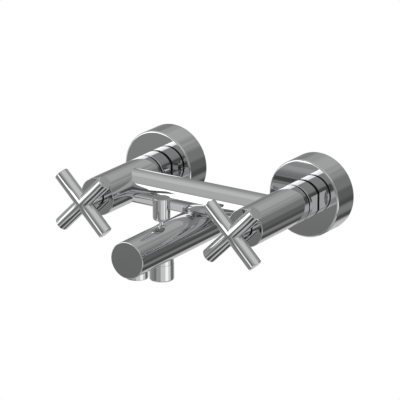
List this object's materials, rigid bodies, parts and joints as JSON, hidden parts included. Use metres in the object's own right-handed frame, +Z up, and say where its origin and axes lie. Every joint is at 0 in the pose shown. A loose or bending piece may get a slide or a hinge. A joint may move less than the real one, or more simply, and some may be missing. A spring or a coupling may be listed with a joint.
{
  "type": "wall mixer tap",
  "caption": "Exposed wall mixer tap: round valve bodies on thick roses, crossbar, straight tubular spout, pull-up diverter knob, hose outlet and cross handles with ceramic-disc cartridges",
  "frame": {"origin": "on the finished wall plane, midway between the two inlet axes", "axes": "+X right along the wall as seen from the room, +Y into the wall, +Z up; the tap stands out towards -Y"},
  "size_m": [0.219, 0.1966, 0.09],
  "materials": {
    "chrome_plate": "polished",
    "raw_brass": "machined",
    "nickelled_brass": "machined",
    "black_rubber": "matte",
    "fibre": "matte",
    "steel": "dull",
    "white_ceramic": "lapped",
    "check_valve_plastic": "moulded",
    "white_plastic": "moulded"
  },
  "bodies": {
    "tap_body": {"hot_rose": "chrome_plate", "cold_rose": "chrome_plate", "hot_rose_seal": "black_rubber", "cold_rose_seal": "black_rubber", "hot_wall_union": "raw_brass", "cold_wall_union": "raw_brass", "hot_inlet_strainer": "steel", "cold_inlet_strainer": "steel", "hot_union_washer": "fibre", "cold_union_washer": "fibre", "hot_union_nut": "nickelled_brass", "cold_union_nut": "nickelled_brass", "hot_inlet_tail": "raw_brass", "cold_inlet_tail": "raw_brass", "hot_check_cage": "check_valve_plastic", "cold_check_cage": "check_valve_plastic", "hot_shroud": "chrome_plate", "cold_shroud": "chrome_plate", "hot_body_gasket": "black_rubber", "cold_body_gasket": "black_rubber", "hot_valve_body": "chrome_plate", "cold_valve_body": "chrome_plate", "hot_cartridge_bonnet": "raw_brass", "cold_cartridge_bonnet": "raw_brass", "hot_seat_seal": "black_rubber", "cold_seat_seal": "black_rubber", "hot_fixed_disc": "white_ceramic", "cold_fixed_disc": "white_ceramic", "hot_front_cap": "chrome_plate", "cold_front_cap": "chrome_plate", "crossbar": "chrome_plate", "spout_tube": "chrome_plate", "spout_end_plug": "chrome_plate", "spout_back_plug": "chrome_plate", "diverter_divider": "raw_brass", "diverter_gland": "chrome_plate", "diverter_gland_o_ring": "black_rubber", "hose_outlet": "chrome_plate", "hose_check_cage": "check_valve_plastic", "aerator_collar": "chrome_plate", "aerator_insert": "white_plastic", "aerator_washer": "black_rubber"},
    "hot_handle_set": {"hot_handle": "chrome_plate", "hot_spindle": "raw_brass", "hot_moving_disc": "white_ceramic", "hot_spindle_o_ring": "black_rubber", "hot_spindle_circlip": "steel", "hot_grub_screw": "steel"},
    "hot_inlet_poppet": {"hot_check_poppet": "white_plastic"},
    "cold_handle_set": {"cold_handle": "chrome_plate", "cold_spindle": "raw_brass", "cold_moving_disc": "white_ceramic", "cold_spindle_o_ring": "black_rubber", "cold_spindle_circlip": "steel", "cold_grub_screw": "steel"},
    "cold_inlet_poppet": {"cold_check_poppet": "white_plastic"},
    "diverter": {"diverter_knob": "chrome_plate", "diverter_stem": "chrome_plate", "diverter_washers": "black_rubber"},
    "hose_poppet": {"hose_check_poppet": "white_plastic"}
  },
  "joints": [
    {"name": "hot_handle_turn", "type": "hinge", "parent": "tap_body", "child": "hot_handle_set", "pos_m": [-0.075, -0.1384, 0], "axis": [0, -1, 0], "range_deg": [0, 90]},
    {"name": "hot_check_valve_opens", "type": "slide", "parent": "tap_body", "child": "hot_inlet_poppet", "axis": [0, -1, 0], "range_m": [0, 0.0025], "stiffness_N_per_m": 20, "springref_m": -0.004},
    {"name": "cold_handle_turn", "type": "hinge", "parent": "tap_body", "child": "cold_handle_set", "pos_m": [0.075, -0.1384, 0], "axis": [0, 1, 0], "range_deg": [0, 90]},
    {"name": "cold_check_valve_opens", "type": "slide", "parent": "tap_body", "child": "cold_inlet_poppet", "axis": [0, -1, 0], "range_m": [0, 0.0025], "stiffness_N_per_m": 20, "springref_m": -0.004},
    {"name": "diverter_lift", "type": "slide", "parent": "tap_body", "child": "diverter", "axis": [0, 0, 1], "range_m": [0, 0.006]},
    {"name": "hose_check_valve_opens", "type": "slide", "parent": "tap_body", "child": "hose_poppet", "axis": [0, 0, -1], "range_m": [0, 0.0025], "stiffness_N_per_m": 20, "springref_m": -0.004}
  ]
}
